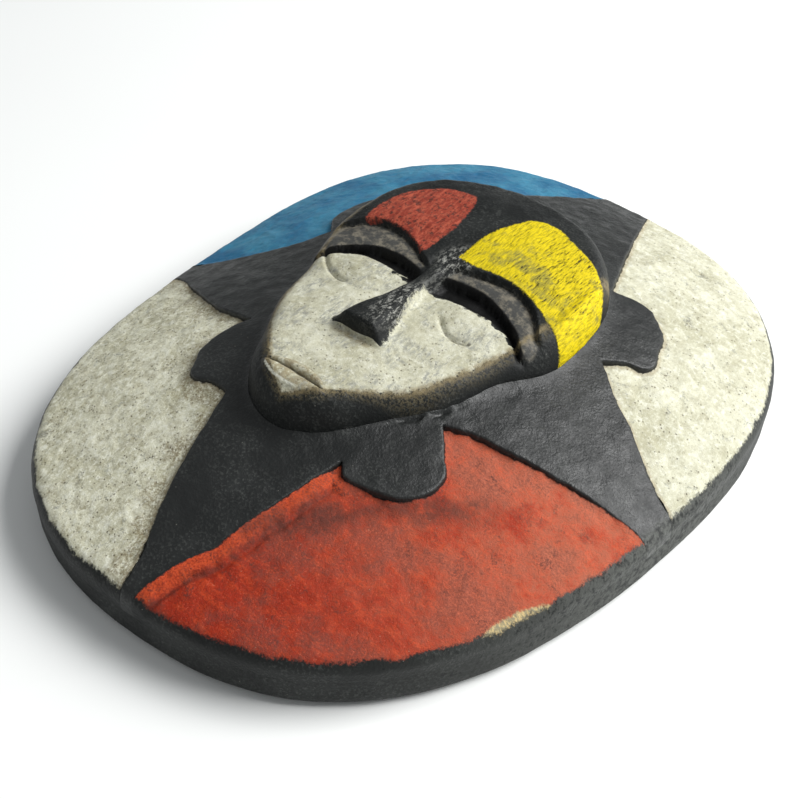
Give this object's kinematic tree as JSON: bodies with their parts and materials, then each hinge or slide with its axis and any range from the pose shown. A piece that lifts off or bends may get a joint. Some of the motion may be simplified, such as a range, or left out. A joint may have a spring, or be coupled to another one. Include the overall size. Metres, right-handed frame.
{
  "type": "carved wall plaque mask",
  "caption": "Domed oval wall plaque: a carved, painted mask face on a star between coloured panels, with a recessed swinging hanger ring on its flat back.",
  "frame": {"origin": "on the flat back, under the middle of the face", "axes": "+Z out of the wall, towards the viewer; +Y from the chin to the crown; +X to the viewer's right"},
  "size_m": [0.2371, 0.3027, 0.0645],
  "materials": {
    "board_wood": "matte black paint on the edge, bare brown wood on the back",
    "black_paint": "matte slate black paint with fine grain",
    "blue_paint": "matte blue paint",
    "cream_paint": "worn cream white paint",
    "sandy_paint": "worn, speckled cream white paint",
    "red_paint": "blotchy brick red paint",
    "face_paint": "cream, black, red and yellow brushed paint",
    "dowel_wood": "bare beech",
    "zinc_steel": "zinc plated strap",
    "zinc_wire": "zinc plated wire",
    "screw_steel": "plated screws"
  },
  "bodies": {
    "plaque": {"base_board": "board_wood", "star_relief": "black_paint", "crown_left_panel": "blue_paint", "crown_right_panel": "cream_paint", "chin_left_panel": "sandy_paint", "chin_right_panel": "red_paint", "face_carving": "face_paint", "face_dowels": "dowel_wood", "hanger_strap": "zinc_steel", "hanger_screws": "screw_steel"},
    "ring": {"hanger_ring": "zinc_wire"}
  },
  "joints": [
    {"name": "ring_hinge", "type": "hinge", "parent": "plaque", "child": "ring", "pos_m": [0, 0.103, 0.0057], "axis": [1, 0, 0], "range_deg": [-110, 28]}
  ]
}
